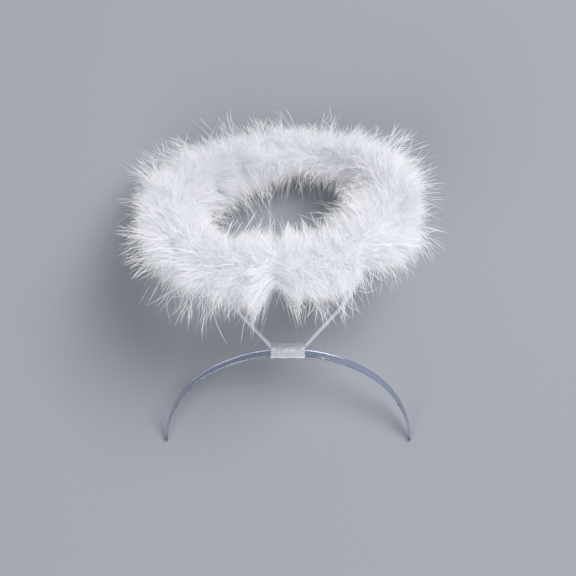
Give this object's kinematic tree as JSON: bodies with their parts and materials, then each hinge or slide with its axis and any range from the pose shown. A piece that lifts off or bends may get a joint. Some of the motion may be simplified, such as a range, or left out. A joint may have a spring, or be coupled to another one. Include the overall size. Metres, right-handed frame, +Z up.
{
  "type": "halo headband",
  "caption": "White feather-down halo ring held above a thin clear headband by a V of covered wire, bound on with cloth tape, leaning back at rest.",
  "frame": {"origin": "on the floor, below the middle of the object's box", "axes": "+Z up from the floor it rests on, +X to the right seen from the front, +Y from the headband's tips towards the back of the halo"},
  "size_m": [0.1648, 0.1864, 0.1288],
  "materials": {
    "clear_plastic": "clear, polished, thin moulded strip",
    "covered_wire": "white covering over steel wire, satin",
    "cloth_tape": "white woven adhesive tape, matte",
    "down": "white feather down, soft and matte"
  },
  "bodies": {
    "root": {"headband": "clear_plastic", "wire_frame": "covered_wire", "tape_wrap": "cloth_tape", "marabou": "down"}
  },
  "joints": []
}
